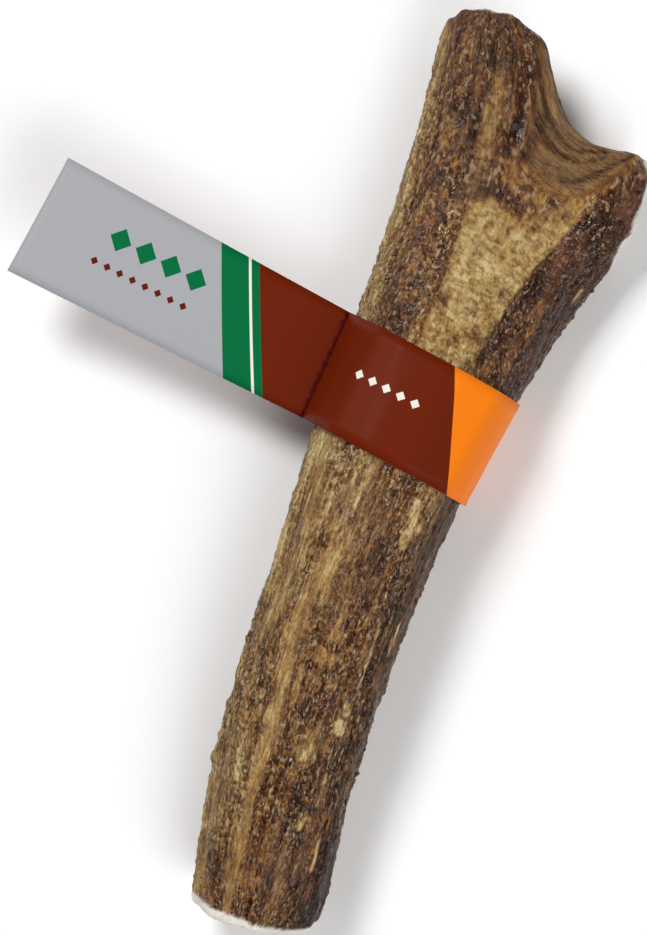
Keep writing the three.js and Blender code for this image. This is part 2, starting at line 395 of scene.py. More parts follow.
def ease(value, low, high):
    """0 below low, 1 above high, and a smooth rise between."""
    t = np.clip((value - low) / (high - low), 0, 1)
    return t * t * (3 - 2 * t)


print(f"three throws of the dice: {dice(np.eye(3, dtype=np.int64), 1).round(2).tolist()}")

# %% [markdown]
# ## What differs from place to place
#
# A few things are this antler's own: a long pale streak where the bark is thin, a worn pale hollow
# below the fork, a dark rough ridge beside it, a smooth olive valley. Each is a brush stroke along a
# few points, or an area inside a few corners, with a ragged edge. They stay on the upper side, which
# is all that the photo shows; the underside keeps the plain bark.

# %% Brushes
RAGGED_WIDE = 0.7  # mm by which an edge wanders, in long waves and in short ones
RAGGED_FINE = 0.5
NOWHERE = 999.0  # mm, farther than any edge

upper_side = ease(normals[:, 2], -0.25, 0.35)  # from a little below the widest line to well above it
ragged = RAGGED_WIDE * soft_noise((1.6, 6.0, 1.6), 91) + RAGGED_FINE * soft_noise((0.8, 1.8, 0.8), 92)


def gap_to(start, end, width_from=0.0, width_to=0.0):
    """The distance in mm from each vertex to a line seen from above, less half of the line's width."""
    reach = np.array(end) - np.array(start)
    t = np.clip((body[:, :2] - np.array(start)) @ reach / (reach @ reach), 0, 1)
    away = np.linalg.norm(body[:, :2] - np.array(start) - t[:, None] * reach, axis=1)
    return away - (width_from + (width_to - width_from) * t) / 2


def stroke(points, soft=0.5, rough=0.5):
    """How much a brush along points (x, y, width in mm) covers each vertex, from 0 to 1."""
    gaps = [gap_to(a[:2], b[:2], a[2], b[2]) for a, b in zip(points[:-1], points[1:])]
    return (1 - ease(np.min(gaps, axis=0) + ragged * rough, -soft, soft)) * upper_side


def area(corners, soft=0.8, rough=0.8):
    """How much an area inside its corners (x, y) covers each vertex, from 0 to 1."""
    x, y = body[:, 0], body[:, 1]
    within = np.zeros(len(body), bool)
    gap = np.full(len(body), NOWHERE)
    for (x0, y0), (x1, y1) in zip(corners, corners[1:] + corners[:1]):
        gap = np.minimum(gap, gap_to((x0, y0), (x1, y1)))
        if y0 != y1:
            within ^= ((y0 > y) != (y1 > y)) & (x < x0 + (x1 - x0) * (y - y0) / (y1 - y0))
    return (1 - ease(np.where(within, -gap, gap) + ragged * rough, -soft, soft)) * upper_side


print(f"the upper side is {upper_side.mean():.2f} of the skin")

# %% Areas of the antler
WORN_HOLLOW = [
    (2, 147), (3.5, 157), (6, 166), (6, 178), (6.3, 188.5), (9, 190), (12.5, 188.5),
    (15, 186), (19, 184.5), (23, 187), (29, 191), (34.5, 192.5), (33.5, 186), (32, 183),
    (28, 176.5), (25.5, 170.5), (23, 164), (20.7, 157.5), (18.5, 146),
]
DARK_RIDGE = [
    (18.5, 143), (20.7, 157.5), (23, 164), (25.5, 170.5), (28, 176.5), (32, 183), (35, 189), (40, 195),
    (46, 204), (50, 199), (49, 190), (46, 179), (42, 169), (38, 158), (34, 146), (32, 140),
]
APEX = [  # where the worn hollow ends below the stub
    (2, 184), (6.3, 188.5), (12.5, 188.5), (15, 186), (19, 184.5),
    (23, 187), (24.5, 191), (20, 197), (14, 202), (5, 201),
]
VALLEY = [
    (14, 229), (15.8, 222), (16.6, 214), (16.6, 206), (18, 200), (20.5, 196), (24, 193.6), (28, 193),
    (32.5, 194.2), (37, 197.5), (41, 202.3), (44.5, 209), (46, 214), (30, 215), (22, 229),
]

worn = area(WORN_HOLLOW)
dark_ridge = area(DARK_RIDGE, 0.5)
apex = area(APEX)
valley = area(VALLEY, 2.2)
left_edge = stroke([
    (-20.5, 2, 7), (-21.5, 45, 8), (-18.5, 90, 8), (-14, 140, 8), (-11, 185, 6), (-10.5, 230, 5),
], 2.0)
left_body = stroke([(-15, 20, 6), (-16, 50, 8), (-14, 90, 8), (-10, 140, 8)], 2.5)
right_side = stroke([(13.5, 0, 11), (15.0, 45, 10), (18.5, 80, 11), (24, 112, 12), (26, 122, 12)], 2.0)
lumpy_band = stroke([(-4, 146, 9), (-4, 172, 9), (-3.5, 197, 9)], 1.2)
stub_top = stroke([(0, 203, 14), (1, 220, 18), (2, 236, 22)], 1.5)
tine_side = stroke([(44, 197, 3), (45.5, 190, 5), (43.5, 182, 4)], 2.0)
print(f"worn {worn.mean():.3f}, dark ridge {dark_ridge.mean():.3f}, valley {valley.mean():.3f} of the skin")

# %% Pale streaks and blotches
pale_streak = stroke([
    (-6.2, 92, 4), (-8.6, 82, 3.4), (-9.2, 70, 3.0), (-9.6, 60, 2.8),
    (-9.9, 50, 3.6), (-9.9, 42, 3.2), (-10, 32, 2.8), (-10, 20, 2.2), (-9.6, 10, 2.0), (-9.2, 0, 1.9),
], 0.7)
tan_field = stroke([(-3.5, 118, 8), (-4, 108, 7.5), (-4.6, 100, 6), (-6, 91, 5)], 1.5, 1.2)
tan_streaks = np.max([
    stroke([(1.4, 24, 1), (1.4, 12, 2), (1.5, 0, 2)]),
    stroke([(-12.5, 112, 4), (-12.5, 98, 3)], 1.2),
    stroke([(-14.2, 64, 2.2), (-14.5, 58, 2)], 0.8),
    stroke([(-4, 58.4, 1), (-3.9, 55.6, 0.8)], 0.4),
    stroke([(-2.2, 59.5, 1.4), (-1.8, 56, 1.6)], 0.6),
    stroke([(3.5, 146, 4), (2.2, 158, 3.6), (1.2, 171, 2)], 0.8),
    stroke([(6.8, 199.5, 4), (6.4, 204, 4), (6, 218, 3)], 0.8),
    stroke([(25, 148, 2), (27.5, 157, 3.4), (30, 166, 2)], 0.6),
    stroke([(-1.4, 184, 1.0), (-1.2, 181, 1.5)], 0.5),
    stroke([(16, 196, 3), (17.5, 194, 2.4)], 0.5),
    stroke([(18, 223, 1.2), (22, 213.5, 1.6), (27, 208.5, 1.4), (33, 206.3, 1.2), (41, 208, 0.8)], 0.4),
    stroke([(20, 194.5, 1.6), (25, 193, 2), (31, 194, 2.2), (36, 197.5, 2), (42, 204.5, 1.6)], 0.6),
], axis=0)
cream_blotches = np.max([
    stroke([(12.2, 110, 2.2), (12.4, 104.5, 3.4), (11.2, 99.5, 1.8)], 0.9, 1.2),
    stroke([(7.2, 57.5, 1.8), (7.8, 56, 2)], 0.4),
    stroke([(7.0, 53, 2.6), (7.2, 51.5, 3)], 0.4),
    stroke([(0.1, 45, 1.2), (0.2, 43, 1.8)], 0.4),
    stroke([(2.8, 43.5, 1.2), (3, 42.5, 1.2)], 0.4),
    stroke([(-14.9, 34.9, 2.1), (-15, 34.3, 2.1)], 0.5, 0.2),
    stroke([(4.6, 28.5, 1.6), (3.4, 26, 2.4)], 0.6),
    stroke([(9.2, 25, 0.6), (9, 16, 0.9)], 0.3),
    stroke([(6.6, 40, 0.5), (6.3, 32, 0.8)], 0.3),
    stroke([(11.1, 84, 0.5), (9.6, 65, 0.9), (10, 57, 0.5)], 0.25),
    stroke([(15.2, 80, 0.5), (14.2, 72, 0.6)], 0.25),
    stroke([(-15, 56, 0.5), (-15.6, 34, 0.6)], 0.25),
    stroke([(39.5, 172, 0.4), (38.4, 169, 0.6)], 0.6),
], axis=0)
print(f"pale streak {pale_streak.mean():.3f}, cream blotches {cream_blotches.mean():.3f} of the skin")

# %% Drifts of beads, amber patches and dark lines
bead_drifts = np.max([
    stroke([(-5, 66.5, 1.6), (-0.5, 64.5, 2.6)], 0.8),
    stroke([(-4, 72, 1.4), (1, 71, 2.4)], 0.8),
    stroke([(2.8, 82, 1), (2.4, 76, 1.8)], 0.7),
    stroke([(-11.4, 56, 1.6), (-11.2, 53.6, 1.4)], 0.6),
    stroke([(-5.5, 54, 1.4), (-3, 53.4, 1.8)], 0.6),
    stroke([(-6, 47, 1.6), (-3, 41, 2)], 0.9),
    stroke([(3.5, 60, 2), (0, 52, 3)], 1.2),
], axis=0)
amber_patches = np.max([
    stroke([(-3, 75.6, 1.8), (1.5, 76, 2.2)], 0.7),
    stroke([(-3.5, 69, 0.8), (0.5, 68.2, 1.0)], 0.4),
    stroke([(9, 86, 2), (7.2, 70, 2.4), (6.2, 60, 1.6)], 0.8),
    stroke([(9.8, 96, 1.6), (9.4, 89, 2.2)], 0.7),
], axis=0)
dark_lines = np.max([
    stroke([(3.2, 188, 1.6), (3.4, 210, 1.8), (3.6, 228, 1)], 0.5),
    stroke([(12, 200, 3), (14.5, 208, 3.5), (12, 219, 1.5)], 0.9),
    stroke([(17, 201, 1.5), (14, 216, 1)], 0.5),
    stroke([(18.5, 145, 1.6), (21.5, 158, 1.4), (26, 170.5, 1.4), (32.5, 183.5, 1.4), (37, 190.5, 1)], 0.4),
    stroke([(3, 187, 4), (12, 191, 4), (20, 187.5, 2)], 0.9),
    stroke([(5.9, 177, 0.6), (5.9, 187, 0.8)], 0.25),
    stroke([
        (13, 223, 1), (17, 212, 1.6), (20, 206.5, 1.6), (25, 203.4, 1.4), (31, 202.4, 1), (37, 205, 0.6),
    ], 0.4),
    stroke([(15, 224, 0.8), (19.5, 213.5, 1.2), (24, 208, 1.2), (30, 205, 1), (37, 207, 0.6)], 0.4),
    stroke([(23, 197.5, 0.8), (30, 197, 1), (36, 200.5, 1.2), (43.5, 207.5, 0.8)], 0.4),
    stroke([(37, 191.5, 1), (41, 197.5, 1.2), (46, 205, 1)], 0.5),
], axis=0)
print(f"bead drifts {bead_drifts.mean():.3f}, dark lines {dark_lines.mean():.3f} of the skin")

# %% [markdown]
# ## The saw cuts
#
# The three saw cuts are flat and have no bark. The distance to those planes tells how near a place is
# to a cut. The bark ends in a ragged line just short of it, where the sawn edge was sanded round.
# Inside the ring of dense ivory bone is a core of spongy bone. A cut's points spread out from their
# middle like an oval, so dividing by that spread gives how far out each one is, from 0 to about 1.

# %% Bare bone at the saw cuts
CUT_RIMS = {"base_cut": 2.3, "top_cut": 0.9, "tine_cut": 1.5}  # mm of bare bone inside each cut
WIDER_TO_THE_LEFT = {"base_cut": 0.10, "top_cut": 0.0, "tine_cut": 0.0}  # mm more for each mm
LEAST_WIDER, MOST_WIDER = -0.6, 0.9  # mm, the ends of that widening
RIM_SOFT = 0.3  # mm of soft edge between bark and bone, and of raggedness
SANDED_FROM, SANDED_TO = 0.6, 4.5  # mm behind a cut where the relief starts and where it is whole
ON_THE_CUT = 0.5  # mm; points less deep than this lie on the sawn face
CORE_SHARE = 0.66  # of the way out from the middle of a cut, where spongy bone turns into dense bone
CORE_SOFT = 0.07
FLAT = 0.02  # a cut has no spread through its own plane, so a spread below this share is left out

bone = np.zeros(len(body))
marrow = np.zeros(len(body))
near_cut = np.zeros(len(body))
for name, (point, facing) in cuts.items():
    depth = (np.array(point) / MM - np.array(FROM_BASE) - body) @ np.array(facing)
    wider = np.clip(-WIDER_TO_THE_LEFT[name] * body[:, 0], LEAST_WIDER, MOST_WIDER)
    rim = CUT_RIMS[name] + wider + RIM_SOFT * ragged
    bone = np.maximum(bone, 1 - ease(depth, rim - RIM_SOFT, rim + RIM_SOFT))
    near_cut = np.maximum(near_cut, 1 - ease(depth, SANDED_FROM, SANDED_TO))
    sawn = depth < ON_THE_CUT
    off_middle = body[sawn] - body[sawn].mean(0)
    spread = np.linalg.pinv(np.cov(off_middle.T), rcond=FLAT, hermitian=True)
    way_out = np.sqrt(np.einsum("ij,jk,ik->i", off_middle, spread, off_middle)) / 2
    way_out += CORE_SOFT * ragged[sawn]
    marrow[sawn] = 1 - ease(way_out, CORE_SHARE - CORE_SOFT, CORE_SHARE + CORE_SOFT)
    print(f"{name}: {sawn.sum()} points on the cut")
print(f"bare bone covers {bone.mean():.3f} of the skin")

# %% [markdown]
# ## The grain in the valley
#
# Between the stub and the tine the bone is one smooth round hollow, and fine lines curve round it like
# the grooves of a saucer. The stream's grain runs straight out of the picture there. So the points of
# the valley get two other numbers, how far out from the hollow's middle they are and how far round.
# Where the two grains meet, everything fine fades out, so that no pattern is cut off at a line.

# %% The grain in the valley
VALLEY_CENTRE = (38.0, 228.0)  # the middle of the round hollow that the stub and the tine share
VALLEY_ROUND = 26.0  # mm, so that one unit along stays one mm

crossing = area(VALLEY, 1.3, 0.3)
past_edge = crossing > 0.5
seam = 4 * crossing * (1 - crossing)  # 1 on the line where the grains meet, 0 away from it
from_centre = body[:, :2] - np.array(VALLEY_CENTRE)
round_it = VALLEY_ROUND * np.arctan2(from_centre[:, 1], from_centre[:, 0])
outward = np.linalg.norm(from_centre, axis=1)
grain[past_edge] = np.column_stack([outward, round_it, body[:, 2]])[past_edge]
print(f"{past_edge.sum()} points follow the valley's own grain")

# %% [markdown]
# ## Beads and grooves
#
# Now the skin's own points move. The broad forms of this antler's front come first, each a brush with a
# height. Long ridges and vessel grooves are next, then two sizes of bead that crowd together in drifts.
# Near the saw cuts everything dies away, because those edges were sanded, and in the worn hollow the
# beads are gone and only shallow pits are left. Real relief in the mesh was chosen over relief in the
# material alone, because it roughens the outline, catches the light and throws shadows.

# %% The broad forms
FORMS = [  # mm up or down
    (-0.5, area(WORN_HOLLOW, 3.0, 0.0)),
    (-1.3, stroke([(21, 199, 6), (26, 196.5, 7), (32, 197, 6), (39, 202, 4)], 3.0, 0.0)),  # valley floor
    (0.9, stroke([(28, 158, 4), (33, 172, 6), (40, 187, 6)], 3.0, 0.0)),  # the dark ridge's crown
    (-0.7, stroke([(19.5, 150, 1), (24, 167, 1), (31, 183, 1), (36, 191, 1)], 1.5, 0.0)),  # its foot
    (0.6, stroke([(7, 194, 4), (6.3, 205, 4), (6, 218, 2)], 2.5, 0.0)),  # a low rib up the stub
    (-0.9, stroke([(12, 199, 2), (15, 208, 3), (12.5, 221, 1)], 2.2, 0.0)),  # the furrow to its right
    (-0.6, stroke([(26, 150, 1), (29, 162, 2)], 1.5, 0.0)),  # a hollow low on the dark ridge
    (0.5, stroke([(-3.5, 150, 5), (-3.5, 195, 5)], 3.0, 0.0)),  # the lumpy band
    (-0.6, stroke([(3.2, 190, 1), (3.4, 226, 1)], 1.4, 0.0)),  # the furrow to the rib's left
    (0.8, stroke([(42, 208.5, 1), (45, 209, 1)], 1.8, 0.0)),  # the tine's upper corner
]
SHIFTS = [  # where an outline bulges: the way to the right and up, and how far in mm
    ((0.0, 1.0), 1.2, stroke([(-2.2, 233.6, 1), (3, 234, 1), (8, 233, 1)], 2.2, 0.0)),
    ((-0.7, 0.7), 1.0, stroke([(-8.6, 229.6, 2), (-7.2, 231.6, 2)], 2.4, 0.0)),
    ((1.0, 0.0), 1.9, stroke([(46.8, 203, 2), (47.5, 197, 3), (46.8, 189, 2)], 3.0, 0.0)),
    ((-0.7, -0.7), 1.2, stroke([(47.0, 208, 0.5), (48.0, 206.6, 0.5)], 1.6, 0.0)),
]
broad_height = sum(amount * where for amount, where in FORMS)
print(f"broad forms from {broad_height.min():.2f} to {broad_height.max():.2f} mm")

# %% Ridges, grooves and beads
# Each noise below is given its size in mm across the grain, along it and through the bone. The shares
# from 0 to 1 say how much an area adds to the crowd of beads or takes away from it.
GROOVE_NARROW = 0.16  # how near to zero the noise is inside a groove
FINE_GROOVE_NARROW = 0.2
BEAD_REACH = 0.6  # of a cell, from a bead's middle to its edge
SMALL_BEAD_REACH = 0.62

ridge = soft_noise((4.5, 40.0, 4.5), 11)
groove = np.exp(-(soft_noise((2.6, 22.0, 2.6), 12) / GROOVE_NARROW) ** 2)
fine_groove = np.exp(-(soft_noise((1.5, 9.0, 1.5), 13) / FINE_GROOVE_NARROW) ** 2)
crowding = soft_noise((5.0, 15.0, 5.0), 31) + 0.25 * lumpy_band + 0.3 * apex - 0.3 * right_side
drift = np.maximum(ease(crowding, -0.6, 0.5), bead_drifts)
nearest, number = cell_noise((1.8, 2.6, 1.8), 21)
bead = np.clip(1 - (nearest / BEAD_REACH) ** 2, 0, 1) ** 0.8 * ease(number, 0.3, 0.6) * drift
nearest, number = cell_noise((1.2, 1.8, 1.2), 27)
small_bead = np.clip(1 - (nearest / SMALL_BEAD_REACH) ** 2, 0, 1) * ease(number, 0.2, 0.6)
calm = np.clip(np.maximum.reduce([worn, 0.7 * pale_streak, 0.9 * valley, 0.6 * cream_blotches]), 0, 1)
bead *= (1 - calm) * (1 - 0.55 * stub_top - 0.4 * lumpy_band)
small_bead *= (1 - 0.8 * calm) * (1 - 0.55 * stub_top - 0.5 * lumpy_band)
print(f"beads cover {(bead > 0.1).mean():.2f} of the skin, grooves {(groove > 0.5).mean():.2f}")

# %% Moving the skin's points
RIDGE_HEIGHT = 0.28  # mm, as are the next five
GROOVE_DEPTH = 0.42
FINE_GROOVE_DEPTH = 0.26
BEAD_HEIGHT = 0.55
SMALL_BEAD_HEIGHT = 0.35
LINE_DEPTH = 0.25
SANDED_AWAY = 0.65  # share of the fine relief that is gone at a saw cut

fine_height = (
    RIDGE_HEIGHT * ridge * (1 - 0.6 * worn)
    - GROOVE_DEPTH * groove * (1 - 0.8 * worn)
    - FINE_GROOVE_DEPTH * fine_groove * (1 - 0.6 * calm)
    + BEAD_HEIGHT * bead
    + SMALL_BEAD_HEIGHT * small_bead
    - LINE_DEPTH * dark_lines
)
height = fine_height * (1 - seam) * (1 - bone) * (1 - SANDED_AWAY * near_cut) + broad_height
shaped = body + normals * height[:, None]
for (right, up), amount, where in SHIFTS:
    shaped[:, :2] += amount * where[:, None] * np.array([right, up])
# Nothing may leave the CAD model's box, because other parts are fitted by that box.
low_limit = (np.array(cad_box[0]) / MM) - np.array(FROM_BASE)
high_limit = (np.array(cad_box[1]) / MM) - np.array(FROM_BASE)
shaped = np.clip(shaped, low_limit, high_limit)
skin.vertices.foreach_set("co", ((shaped + np.array(FROM_BASE)) * MM).ravel())
skin.update()
print(f"relief from {height.min():.2f} to {height.max():.2f} mm")

# %% [markdown]
# ## Stain, warmth and contrast
#
# The colour is painted in three numbers for each point of the skin. Stain runs from bare bone at 0 to
# nearly black at 1. Warmth runs from olive grey to amber. Contrast says how strongly the fine streaks
# of the material show. The paint goes on as a painter would do it: broad washes first, then smaller
# brushes where this antler is darker or lighter, and its own marks last. The washes on the left edge
# and the right side also hold painted light and shade: the left edge lighter and greyer, the right side
# darker, as the light falls from the left. Each coat pulls all three numbers towards its own values,
# as far as its cover and its opacity say.

# %% The coats
BARK = (0.475, 0.56, 1.0)  # stain, warmth and contrast of plain bark
COATS = [  # where, the three numbers there, and the opacity
    # Broad washes, from the base to the top.
    (stroke([(-2, 0, 22), (-3, 30, 16)], 6.0), (0.67, 0.72, 0.95), 0.78),
    (left_body, (0.30, 0.42, 1.00), 0.75),
    # The left edge: its own greyish bark, painted lighter as well, as painted light on the side facing the
    # light.
    (left_edge, (0.15, 0.17, 0.50), 0.85),
    # The right side and its base: darker bark of its own, and painted shade on the side away from the light.
    (right_side, (0.78, 0.40, 0.52), 0.85),
    (stroke([(12, 0, 8), (12, 22, 7)], 2.0), (1.00, 0.95, 0.60), 0.90),
    (lumpy_band, (0.57, 0.65, 0.84), 0.80),
    (stub_top, (0.69, 0.62, 0.68), 0.80),
    (stroke([(14, 229, 6), (16, 222, 4)], 2.0), (0.64, 0.35, 0.50), 0.80),
    (valley, (0.48, 0.25, 0.36), 0.95),
    (apex, (0.43, 0.65, 0.60), 0.80),
    (dark_ridge, (0.85, 0.90, 0.66), 0.90),
    (tine_side, (0.68, 0.55, 0.45), 0.75),
    (worn, (0.14, 0.30, 0.40), 0.95),
    # Smaller brushes between the card band and the top.
    (stroke([(22, 187, 6), (28, 189, 5), (34, 191, 4)], 2.5), (0.40, 0.45, 0.55), 0.75),
    (stroke([(20, 183.5, 3), (24, 183.5, 3)], 1.5), (0.52, 0.60, 0.70), 0.75),
    # Paler bark just above the card band, partly painted light that lifts the band's shadow.
    (stroke([(2, 150, 8), (12, 149, 12), (18, 147, 8)], 3.0), (0.24, 0.45, 0.95), 0.70),
    (stroke([(20, 167, 4), (17.5, 159, 7), (17, 153, 5)], 2.5), (0.40, 0.48, 0.80), 0.65),
    (stroke([(6, 162, 2.5), (6.5, 156.5, 3)], 1.0), (0.62, 0.60, 0.80), 0.70),
    (stroke([(6.3, 178, 2), (5.6, 168, 3)], 1.0), (0.24, 0.45, 0.80), 0.70),
    (stroke([(1, 192, 4), (6, 195.5, 4), (11, 195.5, 4)], 1.5), (0.70, 0.62, 0.80), 0.75),
    (stroke([(-7, 214, 3), (-6.8, 195, 3.5), (-7, 168, 3)], 1.5), (0.40, 0.45, 0.75), 0.60),
    (stroke([(-2, 203.5, 3), (-2, 199, 3)], 1.2), (0.34, 0.50, 0.70), 0.75),
    (stroke([(10, 215, 1.5), (10, 206, 2.5)], 1.0), (0.74, 0.55, 0.60), 0.65),
    (stroke([(19, 210, 3), (18, 201, 3.5)], 1.2), (0.80, 0.40, 0.50), 0.75),
    (stroke([(4.4, 188, 1.5), (3.4, 165, 2)], 1.0), (0.50, 0.60, 0.45), 0.70),
    (stroke([(-2, 186, 3), (0, 181, 4)], 1.2), (0.70, 0.60, 0.60), 0.60),
    (stroke([(-3, 156, 4), (-2, 150, 4)], 1.5), (0.72, 0.60, 0.80), 0.60),
    (stroke([(7, 153, 2), (14, 152, 5), (18, 153, 3)], 1.5), (0.44, 0.48, 0.90), 0.60),
    (stroke([(13.5, 178, 3), (13.5, 164, 3)], 2.0), (0.05, 0.25, 0.35), 0.60),
    (stroke([(42, 201, 2), (37.5, 200, 3)], 1.2), (0.66, 0.45, 0.50), 0.60),
    (stroke([(-2, 226, 5), (8, 224, 5)], 2.5), (0.74, 0.60, 0.70), 0.60),
    (stroke([(34.5, 186, 3), (34.5, 175, 4)], 1.2), (0.90, 0.80, 0.55), 0.70),
    (stroke([(38, 199.5, 2), (43, 204, 2)], 1.0), (0.66, 0.50, 0.50), 0.60),
    # Smaller brushes between the base and the card band.
    (stroke([(5, 107, 9), (2, 98, 11), (3, 86, 9)], 2.5), (0.64, 0.60, 1.00), 0.60),
    (stroke([(6.5, 107, 4), (6.5, 84, 4)], 1.5), (0.76, 0.60, 0.90), 0.55),
    (stroke([(15, 107, 2), (14, 98, 3)], 1.2), (0.74, 0.45, 0.80), 0.65),
    (stroke([(-14.5, 112, 4), (-14.5, 84, 5)], 2.0), (0.50, 0.40, 0.90), 0.65),
    (stroke([(-15, 71, 5), (-15, 67, 5)], 1.5), (0.62, 0.40, 0.80), 0.65),
    (stroke([(0.5, 94, 5), (0, 86, 6)], 2.0), (0.68, 0.62, 1.00), 0.60),
    (stroke([(9.5, 52, 3), (9.5, 38, 4)], 1.5), (0.80, 0.60, 0.80), 0.60),
    (stroke([(6, 35, 3), (6, 31, 3)], 1.2), (0.82, 0.62, 0.90), 0.65),
    (stroke([(-10, 94, 3), (-10, 90, 3)], 1.5), (0.30, 0.45, 0.80), 0.60),
    (stroke([(2, 113, 3), (2, 109, 3)], 1.5), (0.40, 0.48, 0.95), 0.60),
    (
        stroke([(-18.5, 78, 4), (-19, 62, 3), (-19.5, 40, 3), (-18.5, 24, 7), (-18, 12, 4)], 2.0),
        (0.46, 0.28, 0.80), 0.74,
    ),
    (stroke([(6.5, 48, 4), (6.5, 32, 6), (5, 14, 8)], 2.5), (0.76, 0.64, 0.92), 0.64),
    (stroke([(13, 82, 5), (12.5, 66, 5)], 2.0), (0.84, 0.38, 0.60), 0.55),
    (stroke([(-7, 37, 4), (-4, 31, 6)], 1.5), (0.34, 0.58, 0.95), 0.65),
    # This antler's own marks.
    (bead_drifts, (0.72, 0.66, 0.95), 0.80),
    (amber_patches, (0.46, 1.00, 0.65), 0.75),
    (tan_streaks, (0.40, 0.60, 0.60), 0.70),
    (tan_field, (0.40, 0.48, 1.00), 0.80),
    (pale_streak, (0.33, 0.45, 0.70), 0.92),
    (stroke([(-10.6, 52, 2.4), (-10.4, 42, 2.8), (-10.2, 30, 2.4)], 0.9), (0.14, 0.42, 0.65), 0.75),
    (stroke([(-9.8, 7, 1.8), (-9.2, 0, 2.2)], 0.8), (0.20, 0.45, 0.65), 0.65),
    (dark_lines, (0.84, 0.50, 0.70), 0.65),
    (cream_blotches, (0.08, 0.20, 1.00), 0.88),
]
print(len(COATS), "coats")

# %% Painting the three numbers
DARKER_BEADS = 0.17  # the beads are darker brown; the grooves are darker from sap stain and from painted shade in the hollows
DARKER_GROOVES = 0.16
DARKER_FINE_GROOVES = 0.12
LIGHTER_GROUND = 0.12  # takes the average back to where it was

stain, warmth, contrast = (np.full(len(body), value) for value in BARK)
for mask, values, opacity in COATS:
    cover = mask * opacity
    stain += (values[0] - stain) * cover
    warmth += (values[1] - warmth) * cover
    contrast += (values[2] - contrast) * cover
# Beads and grooves are painted darker: the beads' own brown, and in the grooves stain plus painted shade.
bead_stain_and_groove_shade = DARKER_BEADS * bead + DARKER_GROOVES * groove + DARKER_FINE_GROOVES * fine_groove - LIGHTER_GROUND
stain += bead_stain_and_groove_shade * contrast

# Cloudy noise breaks up every coat. The steep sides and the calm areas get less of it.
smooth_side = np.maximum(right_side, tine_side)
lively = (1 - 0.4 * calm) * (1 - 0.5 * smooth_side)
stain += (0.08 * soft_noise((1.7, 13.0, 1.7), 52) + 0.05 * soft_noise((4.0, 9.0, 4.0), 53)) * lively
stain += 0.08 * soft_noise((2.6, 3.4, 2.6), 54) * worn
stain += 0.11 * soft_noise((2.4, 8.0, 2.4), 55) * np.maximum(lumpy_band, stub_top)
warmth += 0.25 * soft_noise((4.0, 12.0, 4.0), 51)
contrast *= 1 - 0.8 * seam
print(f"stain {stain.min():.2f} to {stain.max():.2f}, mean {stain.mean():.2f}")

# %% Handing the numbers to the skin
# Long fine lines show a little everywhere and most on the right side. Small beads show where they
# drift together, and the finest relief is lower on the rounder, better rubbed areas.
smoother = np.maximum.reduce([stub_top, lumpy_band, apex])
attributes = {
    "stain": stain, "warmth": warmth, "contrast": contrast, "worn": worn, "bone": bone, "marrow": marrow,
    "striped": np.clip(0.25 + 0.75 * right_side + 0.2 * valley + 0.3 * left_edge - 0.3 * worn, 0, 1),
    "drift": (0.3 + 0.7 * drift) * (1 - calm) * (1 - 0.6 * smooth_side),
    "fine_relief": (1 - bone) * (1 - seam) * (1 - 0.45 * smoother),
}
for name, values in attributes.items():
    skin.attributes.new(name, "FLOAT", "POINT").data.foreach_set("value", values)
skin.attributes.new("grain", "FLOAT_VECTOR", "POINT").data.foreach_set("vector", grain.ravel())
skin.polygons.foreach_set("use_smooth", np.ones(len(skin.polygons), bool))
print("the skin carries:", ", ".join(attributes), "and grain")

# %% [markdown]
# ## Antler bark
#
# The bark is bone stained by sap, soil and old blood while the elk rubbed the velvet off, and rubbing
# polished the beads' tops. The eye sees short streaks along the grain in amber, olive and dark red
# brown, with pin-sharp glints. An image could be wrapped round the antler, but it would smear at the
# fork. So noise at four scales is added to the stain instead, the sum picks its colour from a warm and
# a cool scale of tones, and the same noise gives the finest relief. Sparse pale dashes, where rubbing
# took the stain off the highest tips, are painted in and also stand as painted glints. Every noise is
# stretched along the grain and sized in millimetres. Real streaks go down to about 0.1 mm. The finest
# here is 0.4 mm, because a pixel of the picture is 0.25 mm and anything finer would only flicker.

# %% Material: stained and rubbed antler bone, its streaks
# Grown bone, stained and rubbed: streaked brown that is matt where it is pale and glossy where dark.
STREAKS = [  # mm across the grain, mm along it, detail, weight in the colour, weight in the relief
    (1.9, 10.0, 1.0, 0.48, 0.0),
    (0.85, 3.2, 1.5, 0.72, 0.7),
    (0.42, 0.90, 1.0, 0.60, 0.35),
]

bark = new_material("antler_bone_stained_and_rubbed")
grain_place = add(bark, "Attribute", attribute_name="grain", out=1)
painted = {name: add(bark, "Attribute", attribute_name=name, out=2) for name in attributes}


def grain_noise(across_mm, along_mm, detail):
    """Noise with lumps of that many mm across and along the grain."""
    per_mm = (1 / across_mm, 1 / along_mm, 1 / across_mm)
    scaled = add(bark, "Mapping", {"Vector": grain_place, "Scale": per_mm})
    return add(bark, "TexNoise", {"Vector": scaled, "Scale": 1.0, "Detail": detail, "Roughness": 0.6})


total = 0.0
relief = 0.0
for across_mm, along_mm, detail, colour_weight, relief_weight in STREAKS:
    lumps = grain_noise(across_mm, along_mm, detail)
    centred = add(bark, "Math", {0: lumps, 1: 0.5}, operation="SUBTRACT")
    total = add(bark, "Math", {0: centred, 1: colour_weight, 2: total}, operation="MULTIPLY_ADD")
    relief = add(bark, "Math", {0: lumps, 1: relief_weight, 2: relief}, operation="MULTIPLY_ADD")
print(len(STREAKS), "scales of streak read the painted numbers:", ", ".join(painted))

